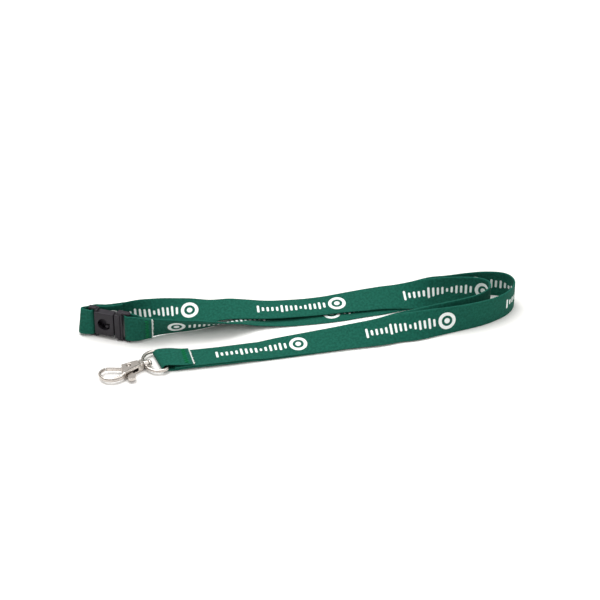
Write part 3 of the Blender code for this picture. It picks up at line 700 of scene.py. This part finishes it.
def bar_shape(line, closed=False, sides=24):
    """A bar with an oval section along rows of x, y, z, half width and half height."""
    solid = bmesh.new()
    rings = []
    count = len(line)
    for k, (x, y, z, wide, high) in enumerate(line):
        if closed:
            before, after = line[k - 1], line[(k + 1) % count]
        else:
            before, after = line[max(k - 1, 0)], line[min(k + 1, count - 1)]
        ahead = Vector((after[0] - before[0], after[1] - before[1], 0)).normalized()
        side = Vector((-ahead.y, ahead.x, 0))
        ring = []
        for i in range(sides):
            a = 2 * math.pi * i / sides
            ring.append(solid.verts.new(Vector((x, y, z)) + side * wide * math.cos(a)
                                        + Vector((0, 0, high * math.sin(a)))))
        rings.append(ring)
    skin(solid, rings, closed)
    bmesh.ops.recalc_face_normals(solid, faces=solid.faces)
    return to_shape(solid)


def to_shape(solid):
    mesh = bpy.data.meshes.new("shape")
    solid.to_mesh(mesh)
    solid.free()
    item = bpy.data.objects.new("shape", mesh)
    bpy.context.scene.collection.objects.link(item)
    return item


def casting(name, adds, cuts, voxel, rounds, place, look):
    """The union of the adds less the cuts, remeshed finely and with every edge softened."""
    base = adds[0]
    for tool, operation in [(add, "UNION") for add in adds[1:]] + [(cut, "DIFFERENCE") for cut in cuts]:
        change = base.modifiers.new("shape", "BOOLEAN")
        change.object = tool
        change.operation = operation
        change.solver = "EXACT"
    remesh = base.modifiers.new("remesh", "REMESH")
    remesh.mode = "VOXEL"
    remesh.voxel_size = voxel
    soft = base.modifiers.new("soft", "SMOOTH")
    soft.factor = 0.5
    soft.iterations = rounds
    bpy.context.view_layer.update()
    shaped = base.evaluated_get(bpy.context.evaluated_depsgraph_get())
    mesh = bpy.data.meshes.new_from_object(shaped)
    for item in adds + cuts:
        bpy.data.objects.remove(item, do_unlink=True)
    mesh.name = name
    mesh.transform(place)
    mesh.materials.clear()
    mesh.shade_smooth()
    return add_object(name, mesh, [look])


def local_place(origin, heading):
    return (Matrix.Translation(Vector(origin) * MM) @ Matrix.Rotation(math.radians(heading), 4, "Z")
            @ Matrix.Scale(MM, 4))


# ---- hook ----

def build_ring(place, look):
    half = [(RING_BAR_X, 0.0), (RING_BAR_X, 6.6), (-1.0, 8.3), (1.4, 8.8), (4.8, 7.7), (7.1, 4.9),
            (7.7, 2.2)]
    points = half + [(x, -y) for x, y in reversed(half[1:])]
    line = smooth_line([(x, y, 0.0, RING_WIRE, RING_WIRE) for x, y in points], 8, closed=True)
    hub = rod_shape(HUB_RADIUS, (6.2, 0, 0), (8.7, 0, 0))
    collar = rod_shape(2.0, (5.9, 0, 0), (6.4, 0, 0), end_radius=HUB_RADIUS)
    bore = rod_shape(HUB_BORE, (4, 0, 0), (11, 0, 0))
    adds = [bar_shape(line, closed=True), hub, collar]
    return casting("ring_casting", adds, [bore], 0.13, 3, place, look)


def lathe(profile, segments=40):
    """A turned shape about the local X axis, from pairs of distance along it and radius."""
    solid = bmesh.new()
    rings = []
    for x, radius in profile:
        rings.append([solid.verts.new((x, radius * math.cos(a), radius * math.sin(a)))
                      for a in (2 * math.pi * k / segments for k in range(segments))])
    skin(solid, rings)
    bmesh.ops.recalc_face_normals(solid, faces=solid.faces)
    return solid


def build_rivet(place, look):
    dome = [(4.05 + 0.95 * (1 - math.cos(a)), 0.15 + 1.75 * math.sin(a))
            for a in (math.radians(d) for d in range(0, 91, 10))]
    profile = dome + [(5.5, 1.9), (5.75, 1.78), (5.85, 1.5), (5.88, SHANK_RADIUS), (9.0, SHANK_RADIUS),
                      (11.5, SHANK_RADIUS), (11.6, SHANK_RADIUS - 0.1)]
    solid = lathe(profile)
    bmesh.ops.transform(solid, matrix=place, verts=solid.verts)
    item = finish_mesh("rivet_turned", solid, [look])
    item.data.set_sharp_from_angle(angle=math.radians(50))
    return item


def build_hook_body(place, look):
    block = [(9.0, -2.1), (9.0, 2.0), (11.0, 2.5), (16.0, 4.2), (20.4, 6.0), (21.2, 5.0), (20.5, 1.8),
             (19.9, -1.9), (14.5, -2.4)]
    half = BODY_HEIGHT / 2
    claw_rows = [(19.2, 4.4, 1.0), (21.4, 5.5, 1.0), (24.4, 6.3, 0.95), (28.0, 6.1, 0.87),
                 (30.8, 4.3, 0.82), (32.0, 1.3, 0.8), (31.7, -1.3, 0.78), (30.2, -3.0, 0.75),
                 (27.85, -4.0, 0.68)]
    claw = smooth_line([(x, y, 0.0, wide, CLAW_HEIGHT * wide / CLAW_WIDTH)
                        for x, y, wide in claw_rows], 8)
    ridge = smooth_line([(9.6, 1.5, 1.75, 0.5, 0.55), (15.5, 3.45, 1.75, 0.6, 0.6),
                         (20.0, 5.15, 1.6, 0.6, 0.6), (23.0, 6.0, 0.9, 0.5, 0.5)], 5)
    x, y = LEVER_PIVOT
    adds = [plate_shape(block, -half, half), bar_shape(claw), bar_shape(ridge),
            rod_shape(2.1, (9.0, 0, 0), (9.6, 0, 0))]
    slot = [(12.2, -1.55), (18.0, -1.55), (20.2, -2.6), (26.0, -2.6), (26.0, 2.4), (19.85, 2.4),
            (19.85, 9.0), (12.2, 9.0)]
    cuts = [plate_shape(slot, -1.0, 1.0), rod_shape(PIN_RADIUS + 0.2, (x, y, -4), (x, y, 4)),
            rod_shape(1.35, (8, 0, 0), (12, 0, 0)),
            rod_shape(1.05, (x, y, 1.6), (x, y, 2.6), end_radius=1.45),
            rod_shape(1.45, (x, y, -2.6), (x, y, -1.6), end_radius=1.05),
            box_shape((10.5, -3.0, 1.7), (10.9, 3.0, 3.0)),
            box_shape((10.5, -3.0, -3.0), (10.9, -1.7, 3.0)),
            box_shape((10.5, -3.0, -3.0), (10.9, 3.0, -1.7))]
    return casting("hook_casting", adds, cuts, 0.14, 3, place, look)


def build_lever(place, look):
    outline = [(15.3, -0.8), (16.4, -1.2), (17.8, -1.0), (20.5, -1.5), (24.0, -3.1), (26.9, -4.35),
               (27.5, -3.75), (27.1, -2.95), (24.3, -1.8), (21.0, -0.3), (18.9, 0.9), (18.4, 2.4),
               (18.5, 4.2), (19.1, 6.2), (19.9, 7.6), (20.0, 8.8), (19.2, 9.8), (17.8, 10.1), (16.3, 9.5),
               (15.5, 7.8), (15.9, 5.6), (16.2, 3.2), (15.4, 1.3), (14.9, 0.2)]
    x, y = LEVER_PIVOT
    adds = [plate_shape(smooth_line(outline, 4, closed=True), -LEVER_HALF, LEVER_HALF)]
    cuts = [rod_shape(PIN_RADIUS + 0.3, (x, y, -3), (x, y, 3))]
    return casting("lever_stamping", adds, cuts, 0.1, 3, place, look)


def build_pin(place, look):
    x, y = LEVER_PIVOT
    profile = [(-1.75, 0.35), (-1.68, 0.5), (-1.55, PIN_RADIUS),
               (1.55, PIN_RADIUS), (1.68, 0.5), (1.75, 0.35)]
    solid = lathe(profile, 28)
    upright = Matrix.Translation((x, y, 0)) @ Matrix.Rotation(math.radians(-90), 4, "Y")
    bmesh.ops.transform(solid, matrix=place @ upright, verts=solid.verts)
    return finish_mesh("pin_turned", solid, [look])


def build_spring(place, look):
    per_turn = 20
    count = SPRING_TURNS * per_turn
    points = []
    for k in range(count + 1):
        angle = 2 * math.pi * k / per_turn
        points.append(place @ Vector((12.5 + 1.5 * k / count, -0.55 + SPRING_RADIUS * math.cos(angle),
                                      SPRING_RADIUS * math.sin(angle))))
    solid = bmesh.new()
    tube(solid, points, [SPRING_WIRE_RADIUS * MM] * len(points))
    return finish_mesh("spring_wire", solid, [look])


# ---- buckle ----

def end_box(side, along, half_depth, reach, round_over):
    """A box at the upper end of a buckle half for side 1, or at its lower end for side -1."""
    low, high = sorted((side * reach[0], side * reach[1]))
    return box_shape((along[0], -half_depth, low), (along[1], half_depth, high), round_over)


def buckle_bar(radius, x):
    return rod_shape(radius, (x, 0, -BAR_REACH), (x, 0, BAR_REACH))


def build_socket(place, look):
    adds = [box_shape((5.8, -2.2, -6.8), (16.5, 2.2, 6.8), 0.45)]
    for side in (-1, 1):
        adds.append(end_box(side, (2.4, 6.8), 1.2, (7.7, 8.8), 0.35))
        adds.append(end_box(side, (5.9, 7.6), 1.6, (6.4, 8.2), 0.35))
    adds.append(buckle_bar(SOCKET_BAR_RADIUS, SOCKET_BAR_X))
    cuts = [box_shape((6.8, -1.1, -5.7), (18.0, 1.1, 5.7)),
            box_shape((12.0, -1.75, -3.15), (18.0, -0.9, -0.05)),
            rod_shape(WINDOW_RADIUS, (WINDOW_X, -4, 0), (WINDOW_X, -0.4, 0)),
            rod_shape(WINDOW_RIM, (WINDOW_X, -2.6, 0), (WINDOW_X, -1.95, 0), end_radius=WINDOW_RADIUS)]
    return casting("socket_moulding", adds, cuts, 0.15, 2, place, look)


def build_tongue(place, look):
    adds = [box_shape((17.0, -2.35, -7.1), (20.0, 2.35, 7.1), 0.4),
            box_shape((7.4, -0.8, -5.3), (17.6, 0.8, 5.3), 0.35),
            box_shape((19.5, -1.75, -6.6), (21.0, 1.75, 6.6), 0.2),
            box_shape((20.4, -2.15, -7.0), (21.3, 2.15, 7.0), 0.25)]
    for side in (-1, 1):
        adds.append(end_box(side, (20.6, 24.9), 1.2, (7.7, 8.8), 0.35))
        adds.append(end_box(side, (18.4, 21.2), 1.7, (6.6, 8.6), 0.35))
    adds.append(buckle_bar(TONGUE_BAR_RADIUS, TONGUE_BAR_X))
    adds.append(ball_shape(1.25, (12.3, -0.75, -1.6), (1.0, 0.6, 1.0)))
    cuts = [rod_shape(2.6, (9.4, -3, 0.2), (9.4, 3, 0.2)), box_shape((9.4, -3, -3.3), (15.0, 3, -2.55)),
            box_shape((9.4, -3, -0.65), (15.0, 3, -0.2)), box_shape((9.4, -3, -2.6), (10.9, 3, -0.3))]
    return casting("tongue_moulding", adds, cuts, 0.15, 2, place, look)


# ---- stage ----

def floor_look():
    look = Look("floor", 0.75)
    tone = look.spread(look.noise(look.object_place(), 3.0, 2.0), 0.3, 0.7, 0.0, 1.0)
    look.put(look.shader.inputs["Base Color"], look.blend(tone, *FLOOR_TONES))
    look.shader.inputs["Specular IOR Level"].default_value = 0.15
    return look.material


def build_stage():
    solid = bmesh.new()
    bmesh.ops.create_grid(solid, x_segments=1, y_segments=1, size=FLOOR_SIZE / 2)
    floor = finish_mesh("floor", solid, [floor_look()], smooth=False)
    floor.location.z = -FLOOR_DROP * MM


def build_light():
    """A sky that is darker towards the ground, and soft lamps."""
    world = bpy.data.worlds.new("studio")
    bpy.context.scene.world = world
    world.use_nodes = True
    tree = world.node_tree
    background = tree.nodes["Background"]
    background.inputs["Strength"].default_value = WORLD_STRENGTH
    height = tree.nodes.new("ShaderNodeSeparateXYZ")
    tree.links.new(tree.nodes.new("ShaderNodeTexCoord").outputs["Generated"], height.inputs[0])
    sky = tree.nodes.new("ShaderNodeValToRGB")
    for stop, (position, color) in zip(sky.color_ramp.elements, SKY):
        stop.position = position
        stop.color = color
    tree.links.new(height.outputs[2], sky.inputs["Fac"])
    tree.links.new(sky.outputs["Color"], background.inputs["Color"])
    for name, spot, size, power in LAMPS:
        lamp = bpy.data.lights.new(name, "AREA")
        lamp.size = size
        lamp.energy = power
        item = bpy.data.objects.new(name, lamp)
        item.location = spot
        item.rotation_euler = (AIM - Vector(spot)).to_track_quat("-Z", "Y").to_euler()
        bpy.context.scene.collection.objects.link(item)


def build_camera():
    tilt = math.radians(CAMERA_ELEVATION)
    lens = bpy.data.cameras.new("camera")
    lens.lens = LENS
    item = bpy.data.objects.new("camera", lens)
    item.location = AIM + CAMERA_DISTANCE * Vector((0.0, -math.cos(tilt), math.sin(tilt)))
    item.rotation_euler = (AIM - item.location).to_track_quat("-Z", "Y").to_euler()
    bpy.context.scene.collection.objects.link(item)
    bpy.context.scene.camera = item


def build_straps():
    """Both strands, seams and frayed ends; those that ride on one body are given with that body."""
    thread = thread_look("thread", THREAD)
    fibre = thread_look("raw_fibre", RAW_FIBRE)
    outer = smooth_route(OUTER_ROUTE + tongue_loop_rows()[1:], FINE_STEP, FINE_TURN)
    to_loop = hook_tail_rows() + INNER_ROUTE
    inner = smooth_route(to_loop + socket_loop_rows()[1:], FINE_STEP, FINE_TURN)
    loop_start = lay_distances(smooth_route(to_loop, FINE_STEP, FINE_TURN))[-1]
    outer_length = lay_distances(outer)[-1]
    inner_length = lay_distances(inner)[-1]

    outer_looks = [webbing_look(name, disc, -1.0, outer_length, False, True, OUTER_PLAIN)
                   for name, disc in (("webbing_outer_face", OUTER_FACE_DISC),
                                      ("webbing_outer_back", OUTER_BACK_DISC))]
    inner_looks = [webbing_look(name, INNER_DISC, 1.0, inner_length, True, False, INNER_PLAIN)
                   for name in ("webbing_inner_face", "webbing_inner_back")]
    outer_strap = webbing("outer_webbing", outer, outer_looks + [fibre], 1.0, (False, True))
    inner_strap = webbing("inner_webbing", inner, inner_looks + [fibre], 5.0, (True, False))
    socket_rows = [loop_start + row for row in SOCKET_SEAM]
    hook_seam = zigzag("hook_zigzag", inner, HOOK_SEAM, -1.0, thread, 3)
    tongue_seam = zigzag("tongue_zigzag", outer, TONGUE_SEAM, -1.0, thread, 4)
    socket_seam = zigzag("socket_zigzag", inner, socket_rows, 1.0, thread, 5)
    hook_fray = frayed_end("hook_tail_fray", inner, True, fibre, 6)
    tongue_fray = frayed_end("tongue_tail_fray", outer, False, fibre, 7)

    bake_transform(inner_strap)
    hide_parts("strap_inner", "strap_inner_loop")
    return [(outer_strap, "strap", "webbing", ["strap_outer"]),
            (hook_seam, "strap", "thread", ["hook_stitching"]),
            (tongue_seam, "strap", "thread", ["tongue_stitching"]),
            (hook_fray, "strap", "webbing", []),
            (tongue_fray, "strap", "webbing", []),
            (socket_seam, "socket", "thread", ["socket_stitching"])]


def build_fittings():
    """The hook's and the buckle's pieces, each with the body it rides and what it stands for."""
    nickel = nickel_look("nickel", NICKEL, 0.2)
    wire = nickel_look("spring_wire", SPRING_WIRE, 0.3)
    plastic = plastic_look("black_plastic")
    hook = local_place(HOOK_ORIGIN, HOOK_HEADING)
    buckle = local_place(BUCKLE_ORIGIN, BUCKLE_HEADING)
    return [(build_ring(hook, nickel), "ring", "nickel", ["swivel_ring"]),
            (build_rivet(hook, nickel), "hook", "nickel", ["swivel_rivet"]),
            (build_hook_body(hook, nickel), "hook", "nickel", ["hook_body"]),
            (build_lever(hook, nickel), "lever", "nickel", ["lever"]),
            (build_pin(hook, nickel), "hook", "nickel", ["lever_pin"]),
            (build_spring(hook, wire), "hook", "spring_steel", ["lever_spring"]),
            (build_socket(buckle, plastic), "socket", "black_plastic", ["buckle_socket"]),
            (build_tongue(buckle, plastic), "strap", "black_plastic", ["buckle_tongue"])]


def main():
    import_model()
    build_stage()
    build_light()
    build_camera()
    for piece, body, slot, nodes in build_straps() + build_fittings():
        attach(piece, body)
        if nodes:
            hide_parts(*nodes)


main()
bpy.context.scene.view_settings.view_transform = "Standard"
